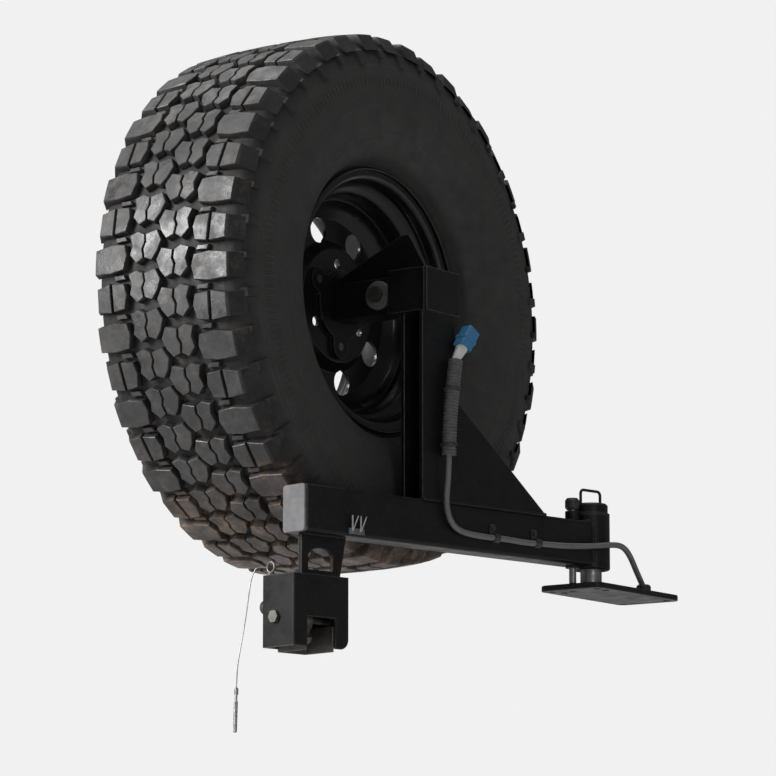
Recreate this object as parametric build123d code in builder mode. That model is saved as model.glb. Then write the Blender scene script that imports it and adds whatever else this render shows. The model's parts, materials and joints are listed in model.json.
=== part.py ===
from build123d import *
import os
from math import cos, hypot, radians, sin, tan

# Swing-out spare tire carrier for the left corner of an off-road rear bumper, with its wheel.
# Millimetres, +Z up. The origin is on the pivot axis at the underside of the base plate.
# At rest the carrier stands about 75 degrees open: the arm runs towards -X and leans 10 degrees
# to +Y, the wheel hangs on its +Y side with its axis along Y, and the inner faces look to -Y.

# --- base plate and pivot -------------------------------------------------------------------
BASE_LENGTH = 260.0
BASE_WIDTH = 120.0
BASE_THICK = 10.0
BASE_CORNER = 15.0
BASE_MID_X = 60.0
BASE_BOLT_X = 220.0
BASE_BOLT_Y = 88.0
BASE_BOLT_RADIUS = 6.5

SPINDLE_FOOT_RADIUS = 18.0
SHOULDER_Z = 45.0
JOURNAL_RADIUS = 12.5
THREAD_RADIUS = 11.0
SPINDLE_TOP = 134.0

HUB_RADIUS = 32.0
HUB_BOTTOM = 38.0
HUB_TOP = 130.0
BEARING_RADIUS = 26.0
BEARING_HEIGHT = 16.0
LOWER_BEARING_Z = 46.0
UPPER_BEARING_Z = 96.0
CONE_RADIUS = 16.5
CUP_BORE_RADIUS = 22.0
ROLLER_RADIUS = 2.7
ROLLER_COUNT = 16
COTTER_RADIUS = 1.6
COTTER_Z = 126.0
NUT_FLAT = 32.0
RUNNING_GAP = 0.05

# --- swing arm -------------------------------------------------------------------------------
SWEEP = 10.0
ARM_LENGTH = 682.0
ARM_HEIGHT = 75.0
ARM_WIDTH = 50.0
ARM_WALL = 4.0
ARM_BOTTOM = 42.0
ARM_TOP = ARM_BOTTOM + ARM_HEIGHT
ARM_CORNER = 6.0
END_CAP_THICK = 6.0

# --- hold-open lock plunger ------------------------------------------------------------------
PLUNGER_REACH = 45.0
PLUNGER_RADIUS = 6.0
PLUNGER_TIP = BASE_THICK + 0.4
GUIDE_RADIUS = 12.0
GUIDE_BORE = 9.5
GUIDE_TOP = 134.0
GUIDE_LIP = 6.0
PLUNGER_COLLAR_Z = 62.0
INDEX_ANGLES = (-40.0, 0.0, 75.0)
INDEX_RADIUS = 6.6

# --- upright and wheel mount -----------------------------------------------------------------
UPRIGHT_NEAR = 347.0
UPRIGHT_FAR = 423.0
GUSSET_FOOT = 134.0
GUSSET_SHOULDER = 286.0
CHEEK_THICK = 8.0
WEB_THICK = 6.0

WHEEL_X = -374.0
WHEEL_Z = 460.0
BOX_WIDTH = 94.0
BOX_HEIGHT = 72.0
BOX_WALL = 5.0
UPRIGHT_TOP = WHEEL_Z - BOX_HEIGHT / 2
BOX_FRONT = 46.0
BOX_BACK = 118.0
FACE_PLATE = 6.0
STUB_SIDE = 60.0
STUB_FRONT = 56.0
SPIDER_THICK = 8.0
LOCK_BOLT_Y = 146.0

# --- wheel -----------------------------------------------------------------------------------
WHEEL_Y = 278.0
MOUNT_FACE_Y = 253.0
LUG_CIRCLE = 139.7
LUG_COUNT = 6
LUG_RADIUS = 8.0
STUD_RADIUS = 6.0
STUD_END_Y = 294.0
STUD_START = 30.0
DISC_THICK = 6.0
DISC_RADIUS = 180.0
DISC_BORE = 55.0
HAND_HOLES = 8
HAND_HOLE_RADIUS = 21.0
HAND_HOLE_CIRCLE = 128.0
RIM_WALL = 4.0
WELL_RADIUS = DISC_RADIUS + RIM_WALL
FLANGE_RADIUS = 221.0
BEAD_RADIUS = 203.0
RIM_HALF_WIDTH = 101.6
TYRE_RADIUS = 442.0
TYRE_HALF_SECTION = 157.5
TREAD_HALF_WIDTH = 126.0

# --- latch at the arm's end ------------------------------------------------------------------
BOX_NEAR = 596.0
BOX_FAR = 714.0
LATCH_HALF_WIDTH = 36.0
LATCH_TOP = -26.0
LATCH_BOTTOM = -139.0
LATCH_WALL = 4.0
LATCH_CORNER = 16.0
NECK_NEAR = 572.0
NECK_FAR = 668.0
NECK_THICK = 8.0
WINDOW_T = 627.0
CLAW_T = 655.0
CLAW_S = -6.0
CLAW_Z = -92.0
CLAW_HALF_THICK = 8.0
CLAW_PIN_RADIUS = 6.0
RELEASE_T = 696.0
RELEASE_Z = -74.0
RELEASE_ROD_RADIUS = 5.0

# --- wiring ----------------------------------------------------------------------------------
CONDUIT_RADIUS = 5.0
SLEEVE_RADIUS = 12.0
LANYARD_RADIUS = 1.0

along = Vector(-cos(radians(SWEEP)), sin(radians(SWEEP)), 0)
inward = Vector(-sin(radians(SWEEP)), -cos(radians(SWEEP)), 0)


def arm_point(reach, side, height):
    """A point given by its reach along the arm, its side towards -Y and its height."""
    return along * reach + inward * side + Vector(0, 0, height)


def level(height):
    """Level plane: x along the arm, y towards the arm's inner side."""
    return Plane(origin=(0, 0, height), x_dir=along, z_dir=(0, 0, 1))


def side_plane(side):
    """Upright plane along the arm: x along it, y up, extruding away from the inner side."""
    return Plane(origin=inward * side, x_dir=along, z_dir=-inward)


def across(reach):
    """Plane square to the arm: x towards the inner side, y up, extruding towards the end."""
    return Plane(origin=along * reach, x_dir=inward, z_dir=along)


def wheel_plane(y):
    """Plane square to the wheel axis: x towards -X, y up, extruding towards +Y."""
    return Plane(origin=(WHEEL_X, y, WHEEL_Z), x_dir=(-1, 0, 0), z_dir=(0, 1, 0))


pivot_section = Plane.XZ
wheel_section = Plane(origin=(WHEEL_X, WHEEL_Y, WHEEL_Z), x_dir=(1, 0, 0), z_dir=(0, 0, 1))
wheel_axis = Axis((WHEEL_X, WHEEL_Y, WHEEL_Z), (0, 1, 0))
stud_angles = [STUD_START + step * 360 / 3 for step in range(3)]


def save(piece, label):
    """Label a finished piece and write it as its own STEP file."""
    piece.part.label = label
    export_step(piece.part, f"parts/{label}.step")


def turned(profile, axis=Axis.Z, plane=pivot_section):
    """A turned piece: a closed outline of (radius, height) points revolved about the axis."""
    with BuildPart() as made:
        with BuildSketch(plane):
            with BuildLine():
                Polyline(*profile, close=True)
            make_face()
        revolve(axis=axis)
    return made


def ring(inner, outer, bottom, top):
    """A plain ring on the pivot axis."""
    return turned([(inner, bottom), (outer, bottom), (outer, top), (inner, top)])


def bend_radii(route):
    """The largest tangent arc at each corner that leaves a tenth of the shorter run straight."""
    radii = []
    for before, corner, after in zip(route, route[1:], route[2:]):
        run_in = Vector(corner) - Vector(before)
        run_out = Vector(after) - Vector(corner)
        half_turn = radians(run_in.get_angle(run_out)) / 2
        radii.append(0.45 * min(run_in.length, run_out.length) / tan(half_turn))
    return radii


def cord(route, radius, label):
    """A round cord along a route of straight runs joined by tangent arcs."""
    radii = bend_radii(route)
    with BuildPart() as made:
        with BuildLine() as path:
            FilletPolyline(*route, radius=radii)
        with BuildSketch(Plane(origin=path.line @ 0, z_dir=path.line % 0)):
            Circle(radius)
        sweep()
    length = sum(edge.length for edge in path.line.edges())
    expected = 3.14159 * radius**2 * length
    print(f"{label}: length {length:.0f}, volume ratio {made.part.volume / expected:.3f}, radii",
          " ".join(f"{value:.0f}" for value in radii))
    return made


def coil_spring(start, direction, coil_radius, wire_radius, length, turns):
    """A helical compression spring that begins at a point and runs in a direction."""
    with BuildPart() as made:
        with BuildLine() as path:
            Helix(pitch=length / turns, height=length, radius=coil_radius,
                  center=start, direction=direction)
        with BuildSketch(Plane(origin=path.line @ 0, z_dir=path.line % 0)):
            Circle(wire_radius)
        sweep()
    return made


os.makedirs("parts", exist_ok=True)

# =============================================================================================
# Base: the plate bolted to the bumper, the spindle and what turns on it
# =============================================================================================
with BuildPart() as base_plate:
    with BuildSketch(Plane.XY):
        with Locations((BASE_MID_X, 0)):
            RectangleRounded(BASE_LENGTH, BASE_WIDTH, BASE_CORNER)
            with GridLocations(BASE_BOLT_X, BASE_BOLT_Y, 2, 2):
                Circle(BASE_BOLT_RADIUS, mode=Mode.SUBTRACT)
        for swing in INDEX_ANGLES:
            with PolarLocations(PLUNGER_REACH, 1, start_angle=180 - SWEEP + swing):
                Circle(INDEX_RADIUS, mode=Mode.SUBTRACT)
    extrude(amount=BASE_THICK)
    top_rim = base_plate.faces().sort_by(Axis.Z)[-1].outer_wire().edges()
    chamfer(top_rim, length=1.5)
save(base_plate, "base_plate")

spindle_blank = turned([
    (0, BASE_THICK), (SPINDLE_FOOT_RADIUS + 5, BASE_THICK), (SPINDLE_FOOT_RADIUS, BASE_THICK + 5),
    (SPINDLE_FOOT_RADIUS, SHOULDER_Z), (JOURNAL_RADIUS, SHOULDER_Z),
    (JOURNAL_RADIUS, UPPER_BEARING_Z + BEARING_HEIGHT),
    (THREAD_RADIUS, UPPER_BEARING_Z + BEARING_HEIGHT),
    (THREAD_RADIUS, SPINDLE_TOP - 2), (THREAD_RADIUS - 2, SPINDLE_TOP), (0, SPINDLE_TOP),
])
with BuildPart() as pivot_spindle:
    add(spindle_blank.part)
    with BuildSketch(Plane.XZ):
        with Locations((0, COTTER_Z)):
            Circle(COTTER_RADIUS)
    extrude(amount=SPINDLE_FOOT_RADIUS, both=True, mode=Mode.SUBTRACT)
save(pivot_spindle, "pivot_spindle")

for place, bottom in (("lower", LOWER_BEARING_Z), ("upper", UPPER_BEARING_Z)):
    top = bottom + BEARING_HEIGHT
    bearing_cone = ring(JOURNAL_RADIUS, CONE_RADIUS, bottom, top)
    save(bearing_cone, f"{place}_bearing_cone")
    bearing_cup = ring(CUP_BORE_RADIUS, BEARING_RADIUS, bottom, top)
    save(bearing_cup, f"{place}_bearing_cup")
    with BuildPart() as rollers:
        with BuildSketch(Plane.XY.offset(bottom + 2)):
            with PolarLocations(CONE_RADIUS + ROLLER_RADIUS, ROLLER_COUNT):
                Circle(ROLLER_RADIUS)
        extrude(amount=BEARING_HEIGHT - 4)
    save(rollers, f"{place}_bearing_rollers")

washer_z = UPPER_BEARING_Z + BEARING_HEIGHT
thrust_washer = ring(THREAD_RADIUS, 20.0, washer_z, washer_z + 3)
save(thrust_washer, "thrust_washer")

nut_bottom = washer_z + 3
nut_top = COTTER_Z + 4
with BuildPart() as castle_nut:
    with BuildSketch(Plane.XY.offset(nut_bottom)):
        RegularPolygon(NUT_FLAT / 2, 6, major_radius=False)
        Circle(THREAD_RADIUS, mode=Mode.SUBTRACT)
    extrude(amount=nut_top - nut_bottom)
    with BuildSketch(Plane.XY.offset(COTTER_Z - COTTER_RADIUS)):
        for turn in range(3):
            Rectangle(NUT_FLAT * 1.3, 2 * COTTER_RADIUS, rotation=30 + turn * 60)
    extrude(amount=nut_top, mode=Mode.SUBTRACT)
save(castle_nut, "castle_nut")

COTTER_REACH = 18.5
with BuildPart() as cotter_pin:
    with BuildSketch(Plane.XZ):
        with Locations((0, COTTER_Z)):
            Circle(COTTER_RADIUS)
    extrude(amount=COTTER_REACH, both=True)
    with Locations((0, COTTER_REACH + 2, COTTER_Z)):
        Torus(2, 1.2, rotation=(0, 90, 0))
save(cotter_pin, "cotter_pin")

GLAND_X = 150.0
GLAND_Y = -10.0
GLAND_TOP = 28.0
with BuildPart() as cable_gland:
    with BuildSketch(Plane.XY.offset(BASE_THICK)):
        with Locations((GLAND_X, GLAND_Y)):
            RegularPolygon(16, 6)
    extrude(amount=6)
    with BuildSketch(Plane.XY.offset(BASE_THICK + 6)):
        with Locations((GLAND_X, GLAND_Y)):
            Circle(12.5)
    extrude(amount=GLAND_TOP - BASE_THICK - 6)
    fillet(cable_gland.faces().sort_by(Axis.Z)[-1].edges(), radius=5)
save(cable_gland, "cable_gland")

# =============================================================================================
# Hub and arm
# =============================================================================================
bore = BEARING_RADIUS
waist = CUP_BORE_RADIUS + 1.5
lower_shoulder = LOWER_BEARING_Z + BEARING_HEIGHT
hub_housing = turned([
    (bore, HUB_BOTTOM), (HUB_RADIUS - 2, HUB_BOTTOM), (HUB_RADIUS, HUB_BOTTOM + 2),
    (HUB_RADIUS, HUB_TOP), (bore, HUB_TOP), (bore, UPPER_BEARING_Z), (waist, UPPER_BEARING_Z),
    (waist, lower_shoulder), (bore, lower_shoulder),
])
save(hub_housing, "hub_housing")

hub_seal = turned([
    (SPINDLE_FOOT_RADIUS + 0.3, HUB_BOTTOM + 1), (bore, HUB_BOTTOM + 1),
    (bore, LOWER_BEARING_Z), (CUP_BORE_RADIUS, LOWER_BEARING_Z),
    (CUP_BORE_RADIUS, HUB_BOTTOM + 4), (SPINDLE_FOOT_RADIUS + 0.3, HUB_BOTTOM + 4),
])
save(hub_seal, "hub_seal")

CAP_TOP = 150.0
dust_cap = turned([
    (24.5, HUB_TOP - 8), (bore, HUB_TOP - 8), (bore, HUB_TOP), (HUB_RADIUS, HUB_TOP),
    (HUB_RADIUS, HUB_TOP + 3), (29, HUB_TOP + 4), (29, CAP_TOP - 3), (26, CAP_TOP),
    (0, CAP_TOP), (0, CAP_TOP - 3), (24.5, CAP_TOP - 5),
])
save(dust_cap, "dust_cap")

BAIL_WIRE = 2.4
BAIL_HALF = 24.0
BAIL_TOP = 173.0
with BuildPart() as cap_bail:
    with BuildLine(side_plane(0)) as bail_path:
        FilletPolyline((-BAIL_HALF, CAP_TOP), (-BAIL_HALF, BAIL_TOP), (BAIL_HALF, BAIL_TOP),
                       (BAIL_HALF, CAP_TOP), radius=7)
    with BuildSketch(Plane(origin=bail_path.line @ 0, z_dir=bail_path.line % 0)):
        Circle(BAIL_WIRE)
    sweep()
save(cap_bail, "cap_bail")

with BuildPart() as grease_nipple:
    nipple_plane = Plane(origin=(HUB_RADIUS - 1, 0, 84), z_dir=(1, 0, 0))
    with BuildSketch(nipple_plane):
        RegularPolygon(5, 6)
    extrude(amount=5)
    with BuildSketch(nipple_plane.offset(5)):
        Circle(2.6)
    extrude(amount=6)
    with BuildSketch(Plane.XY):
        Circle(HUB_RADIUS)
    extrude(amount=HUB_TOP, mode=Mode.SUBTRACT)
save(grease_nipple, "grease_nipple")

arm_mid = ARM_BOTTOM + ARM_HEIGHT / 2
with BuildPart() as main_arm:
    with BuildSketch(across(0)):
        with Locations((0, arm_mid)):
            RectangleRounded(ARM_WIDTH, ARM_HEIGHT, ARM_CORNER)
            RectangleRounded(ARM_WIDTH - 2 * ARM_WALL, ARM_HEIGHT - 2 * ARM_WALL,
                             ARM_CORNER - ARM_WALL / 2, mode=Mode.SUBTRACT)
    extrude(amount=ARM_LENGTH - END_CAP_THICK)
    with BuildSketch(Plane.XY):
        Circle(HUB_RADIUS)
    extrude(amount=ARM_TOP + 10, mode=Mode.SUBTRACT)
    with BuildSketch(level(0)):
        with Locations((PLUNGER_REACH, 0)):
            Circle(GUIDE_RADIUS)
    extrude(amount=ARM_TOP + 10, mode=Mode.SUBTRACT)
save(main_arm, "main_arm")

with BuildPart() as arm_end_cap:
    with BuildSketch(across(ARM_LENGTH - END_CAP_THICK)):
        with Locations((0, arm_mid)):
            RectangleRounded(ARM_WIDTH, ARM_HEIGHT, ARM_CORNER)
    extrude(amount=END_CAP_THICK)
    chamfer(arm_end_cap.faces().sort_by(Axis(arm_point(0, 0, 0), along))[-1].edges(), length=1)
save(arm_end_cap, "arm_end_cap")

# =============================================================================================
# Hold-open lock: guide, spring, pin and knob on an axis through the arm
# =============================================================================================
plunger_foot = arm_point(PLUNGER_REACH, 0, 0)
plunger_section = Plane(origin=plunger_foot, x_dir=along, z_dir=-inward)
plunger_axis = Axis(plunger_foot, (0, 0, 1))

pin_bore = PLUNGER_RADIUS + 0.3
plunger_guide = turned([
    (pin_bore, ARM_BOTTOM - 4), (GUIDE_RADIUS, ARM_BOTTOM - 4), (GUIDE_RADIUS, GUIDE_TOP),
    (pin_bore, GUIDE_TOP), (pin_bore, GUIDE_TOP - GUIDE_LIP), (GUIDE_BORE, GUIDE_TOP - GUIDE_LIP),
    (GUIDE_BORE, ARM_BOTTOM + GUIDE_LIP), (pin_bore, ARM_BOTTOM + GUIDE_LIP),
], plunger_axis, plunger_section)
save(plunger_guide, "plunger_guide")

KNOB_BOTTOM = GUIDE_TOP + 2
KNOB_TOP = KNOB_BOTTOM + 20
collar = GUIDE_BORE - 0.4
plunger_pin = turned([
    (0, PLUNGER_TIP), (PLUNGER_RADIUS - 2, PLUNGER_TIP), (PLUNGER_RADIUS, PLUNGER_TIP + 3),
    (PLUNGER_RADIUS, PLUNGER_COLLAR_Z), (collar, PLUNGER_COLLAR_Z),
    (collar, PLUNGER_COLLAR_Z + 4), (PLUNGER_RADIUS, PLUNGER_COLLAR_Z + 4),
    (PLUNGER_RADIUS, KNOB_BOTTOM), (0, KNOB_BOTTOM),
], plunger_axis, plunger_section)
save(plunger_pin, "plunger_pin")

plunger_knob = turned([
    (0, KNOB_BOTTOM), (9, KNOB_BOTTOM), (12, KNOB_BOTTOM + 4), (12, KNOB_TOP - 4),
    (9, KNOB_TOP), (0, KNOB_TOP),
], plunger_axis, plunger_section)
save(plunger_knob, "plunger_knob")

spring_bottom = PLUNGER_COLLAR_Z + 5
plunger_spring = coil_spring(
    plunger_foot + Vector(0, 0, spring_bottom), (0, 0, 1),
    7.8, 0.8, GUIDE_TOP - GUIDE_LIP - 1 - spring_bottom, 9,
)
save(plunger_spring, "plunger_spring")

# =============================================================================================
# Upright: two cheeks with the gusset in one outline, and the web that closes their near edge
# =============================================================================================
for label, side in (("upright_inner_cheek", ARM_WIDTH / 2),
                    ("upright_outer_cheek", CHEEK_THICK - ARM_WIDTH / 2)):
    with BuildPart() as cheek:
        with BuildSketch(side_plane(side)):
            with BuildLine():
                Polyline((UPRIGHT_FAR, ARM_TOP), (UPRIGHT_FAR, UPRIGHT_TOP),
                         (UPRIGHT_NEAR, UPRIGHT_TOP), (UPRIGHT_NEAR, GUSSET_SHOULDER),
                         (GUSSET_FOOT, ARM_TOP), close=True)
            make_face()
        extrude(amount=CHEEK_THICK)
    save(cheek, label)

rise = (GUSSET_SHOULDER - ARM_TOP) / (UPRIGHT_NEAR - GUSSET_FOOT)
foot_shift = WEB_THICK * hypot(1, rise) / rise
web_inner = UPRIGHT_NEAR + WEB_THICK
web_corner = ARM_TOP + rise * (web_inner - GUSSET_FOOT - foot_shift)
with BuildPart() as upright_web:
    with BuildSketch(side_plane(ARM_WIDTH / 2 - CHEEK_THICK)):
        with BuildLine():
            Polyline((GUSSET_FOOT, ARM_TOP), (UPRIGHT_NEAR, GUSSET_SHOULDER),
                     (UPRIGHT_NEAR, UPRIGHT_TOP), (web_inner, UPRIGHT_TOP),
                     (web_inner, web_corner), (GUSSET_FOOT + foot_shift, ARM_TOP), close=True)
        make_face()
    extrude(amount=ARM_WIDTH - 2 * CHEEK_THICK)
save(upright_web, "upright_web")

# =============================================================================================
# Wheel mount: box on the upright, telescoping stub, lock bolt, three-armed spider and studs
# =============================================================================================
with BuildPart() as mount_box:
    with BuildSketch(wheel_plane(BOX_FRONT)):
        Rectangle(BOX_WIDTH, BOX_HEIGHT)
        Rectangle(BOX_WIDTH - 2 * BOX_WALL, BOX_HEIGHT - 2 * BOX_WALL, mode=Mode.SUBTRACT)
    extrude(amount=BOX_BACK - BOX_FRONT)
    with BuildSketch(wheel_plane(BOX_BACK - BOX_WALL)):
        Rectangle(BOX_WIDTH, BOX_HEIGHT)
        Rectangle(STUB_SIDE, STUB_SIDE, mode=Mode.SUBTRACT)
    extrude(amount=BOX_WALL)
save(mount_box, "mount_box")

with BuildPart() as mount_box_face:
    with BuildSketch(wheel_plane(BOX_FRONT - FACE_PLATE)):
        RectangleRounded(BOX_WIDTH, BOX_HEIGHT, 3)
    extrude(amount=FACE_PLATE)
    chamfer(mount_box_face.faces().sort_by(Axis.Y)[0].edges(), length=1)
save(mount_box_face, "mount_box_face")

with BuildPart() as stub_tube:
    with BuildSketch(wheel_plane(STUB_FRONT)):
        RectangleRounded(STUB_SIDE, STUB_SIDE, 5)
        RectangleRounded(STUB_SIDE - 2 * BOX_WALL, STUB_SIDE - 2 * BOX_WALL, 2, mode=Mode.SUBTRACT)
    extrude(amount=MOUNT_FACE_Y - SPIDER_THICK - STUB_FRONT)
    with BuildSketch(Plane.YZ.offset(WHEEL_X - STUB_SIDE)):
        with Locations((LOCK_BOLT_Y, WHEEL_Z)):
            Circle(8)
    extrude(amount=2 * STUB_SIDE, mode=Mode.SUBTRACT)
save(stub_tube, "stub_tube")

bolt_face = WHEEL_X - STUB_SIDE / 2
with BuildPart() as stub_lock_washer:
    with BuildSketch(Plane.YZ.offset(bolt_face - 8)):
        with Locations((LOCK_BOLT_Y, WHEEL_Z)):
            Circle(24)
            Circle(8, mode=Mode.SUBTRACT)
    extrude(amount=8)
    chamfer(stub_lock_washer.faces().sort_by(Axis.X)[0].outer_wire().edges(), length=2)
save(stub_lock_washer, "stub_lock_washer")

with BuildPart() as stub_lock_bolt:
    with BuildSketch(Plane.YZ.offset(bolt_face - 18)):
        with Locations((LOCK_BOLT_Y, WHEEL_Z)):
            RegularPolygon(12, 6, major_radius=False)
    extrude(amount=10)
    with BuildSketch(Plane.YZ.offset(bolt_face - 8)):
        with Locations((LOCK_BOLT_Y, WHEEL_Z)):
            Circle(8)
    extrude(amount=STUB_SIDE + 26)
    with BuildSketch(Plane.YZ.offset(WHEEL_X + STUB_SIDE / 2)):
        with Locations((LOCK_BOLT_Y, WHEEL_Z)):
            RegularPolygon(12, 6, major_radius=False)
    extrude(amount=13)
save(stub_lock_bolt, "stub_lock_bolt")

box_top = WHEEL_Z + BOX_HEIGHT / 2
stub_top = WHEEL_Z + STUB_SIDE / 2
spider_back = MOUNT_FACE_Y - SPIDER_THICK
with BuildPart() as stub_brace:
    with BuildSketch(Plane.YZ.offset(WHEEL_X - 4)):
        with BuildLine():
            Polyline((BOX_FRONT + 22, box_top), (BOX_BACK, box_top), (BOX_BACK, stub_top),
                     (spider_back, stub_top), (spider_back, stub_top + 14),
                     (BOX_BACK + 24, box_top + 56), (BOX_BACK, box_top + 66),
                     (BOX_FRONT + 60, box_top + 66), close=True)
        make_face()
    extrude(amount=8)
save(stub_brace, "stub_brace")

with BuildPart() as mount_spider:
    with BuildSketch(wheel_plane(MOUNT_FACE_Y - SPIDER_THICK)):
        Circle(DISC_BORE + 4)
        for angle in stud_angles:
            with Locations(Rotation(0, 0, angle)):
                with Locations((LUG_CIRCLE / 4, 0)):
                    Rectangle(LUG_CIRCLE / 2, 40)
                with Locations((LUG_CIRCLE / 2, 0)):
                    Circle(20)
                    Circle(STUD_RADIUS, mode=Mode.SUBTRACT)
    extrude(amount=SPIDER_THICK)
save(mount_spider, "mount_spider")

with BuildPart() as wheel_studs:
    with BuildSketch(wheel_plane(MOUNT_FACE_Y - SPIDER_THICK)):
        with PolarLocations(LUG_CIRCLE / 2, 3, start_angle=STUD_START):
            Circle(STUD_RADIUS)
    extrude(amount=STUD_END_Y - MOUNT_FACE_Y + SPIDER_THICK)
save(wheel_studs, "wheel_studs")

# =============================================================================================
# Wheel: steel disc, rim, tyre, valve and nuts
# =============================================================================================
face = MOUNT_FACE_Y - WHEEL_Y
back = face + DISC_THICK
DISH = 15.0
with BuildPart() as wheel_disc:
    with BuildSketch(wheel_section):
        with BuildLine():
            Polyline((DISC_BORE, face), (95, face), (110, face + DISH), (148, face + DISH), (168, face),
                     (DISC_RADIUS - DISC_THICK, face - 13), (DISC_RADIUS, face - 13),
                     (DISC_RADIUS, back), (168, back), (148, back + DISH), (110, back + DISH),
                     (95, back), (DISC_BORE, back), close=True)
        make_face()
    revolve(axis=wheel_axis)
    with BuildSketch(wheel_plane(MOUNT_FACE_Y - 30)):
        with PolarLocations(LUG_CIRCLE / 2, LUG_COUNT, start_angle=STUD_START):
            Circle(LUG_RADIUS)
        with PolarLocations(HAND_HOLE_CIRCLE, HAND_HOLES, start_angle=STUD_START):
            Circle(HAND_HOLE_RADIUS)
    extrude(amount=80, mode=Mode.SUBTRACT)
save(wheel_disc, "wheel_disc")

half = RIM_HALF_WIDTH
outside = [
    (FLANGE_RADIUS - 5, -half - 10), (FLANGE_RADIUS, -half - 5), (FLANGE_RADIUS - 5, -half),
    (BEAD_RADIUS + 2, -half), (BEAD_RADIUS, -half + 3), (BEAD_RADIUS - 2, -half + 24),
    (BEAD_RADIUS - 6, -half + 30), (WELL_RADIUS, -half + 38), (WELL_RADIUS, -15),
    (WELL_RADIUS + 6, 5), (WELL_RADIUS + 12, 25), (BEAD_RADIUS - 3, 50),
    (BEAD_RADIUS, half - 3), (BEAD_RADIUS + 2, half), (FLANGE_RADIUS - 5, half),
    (FLANGE_RADIUS, half + 5), (FLANGE_RADIUS - 5, half + 10),
]
inside = [
    (FLANGE_RADIUS - 9, half + 6), (BEAD_RADIUS - 2, half + 4), (BEAD_RADIUS - 4, half - 3),
    (BEAD_RADIUS - 7, 52), (WELL_RADIUS + 8, 28), (WELL_RADIUS + 2, 7), (DISC_RADIUS, -13),
    (DISC_RADIUS, -half + 39), (BEAD_RADIUS - 10, -half + 28), (BEAD_RADIUS - 6, -half + 22),
    (BEAD_RADIUS - 4, -half + 2), (BEAD_RADIUS - 2, -half - 4), (FLANGE_RADIUS - 9, -half - 6),
]
VALVE_RADIUS = 4.5
valve_plane = wheel_plane(WHEEL_Y + half - 34)
with BuildPart() as rim_barrel:
    with BuildSketch(wheel_section):
        with BuildLine():
            Polyline(*outside, *inside, close=True)
        make_face()
    revolve(axis=wheel_axis)
save(rim_barrel, "rim_barrel")

tyre_outer = [
    (BEAD_RADIUS + 0.5, half - 25), (BEAD_RADIUS + 0.5, half - 4), (BEAD_RADIUS + 4, half - 0.5),
    (FLANGE_RADIUS + 2, half - 0.5),
    (FLANGE_RADIUS + 6, half + 12), (FLANGE_RADIUS + 22, half + 32), (270, 148),
    (300, TYRE_HALF_SECTION), (345, TYRE_HALF_SECTION), (385, 150), (420, 140),
    (TYRE_RADIUS - 6, TREAD_HALF_WIDTH + 6), (TYRE_RADIUS, TREAD_HALF_WIDTH - 4),
]
tyre_inner = [
    (TYRE_RADIUS - 22, 108), (402, 130), (350, 142), (296, 142), (262, 128), (236, 96),
    (222, half - 25),
]
right_side = tyre_outer + [(radius, -y) for radius, y in reversed(tyre_outer)]
left_side = [(radius, -y) for radius, y in reversed(tyre_inner)] + tyre_inner
with BuildPart() as tyre:
    with BuildSketch(wheel_section):
        with BuildLine():
            Polyline(*right_side, *left_side, close=True)
        make_face()
    revolve(axis=wheel_axis)
save(tyre, "tyre")

with BuildPart() as valve_stem:
    with BuildSketch(valve_plane):
        with Locations((0, BEAD_RADIUS - 14)):
            Circle(VALVE_RADIUS)
    extrude(amount=26)
save(valve_stem, "valve_stem")

with BuildPart() as valve_cap:
    with BuildSketch(valve_plane.offset(26)):
        with Locations((0, BEAD_RADIUS - 14)):
            Circle(VALVE_RADIUS + 0.7)
    extrude(amount=10)
    chamfer(valve_cap.faces().sort_by(Axis.Y)[-1].edges(), length=1)
save(valve_cap, "valve_cap")

NUT_LENGTH = 22.0
with BuildPart() as wheel_nuts:
    with BuildSketch(wheel_plane(MOUNT_FACE_Y + DISC_THICK)):
        with PolarLocations(LUG_CIRCLE / 2, 3, start_angle=STUD_START):
            RegularPolygon(10.5, 6, major_radius=False)
            Circle(STUD_RADIUS, mode=Mode.SUBTRACT)
    extrude(amount=NUT_LENGTH)
save(wheel_nuts, "wheel_nuts")

# =============================================================================================
# Latch: neck, housing, guide liner, claw, release rod, springs and the lanyard's eye
# =============================================================================================
with BuildPart() as latch_neck:
    with BuildSketch(side_plane(NECK_THICK / 2)):
        with BuildLine():
            Polyline((NECK_NEAR, ARM_BOTTOM), (NECK_FAR, ARM_BOTTOM), (NECK_FAR, LATCH_TOP),
                     (NECK_NEAR + 14, LATCH_TOP), close=True)
        make_face()
        with Locations((WINDOW_T, -4)):
            Rectangle(52, 20, mode=Mode.SUBTRACT)
        with Locations((WINDOW_T, 6)):
            Ellipse(26, 14, mode=Mode.SUBTRACT)
    extrude(amount=NECK_THICK)
save(latch_neck, "latch_neck")

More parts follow.
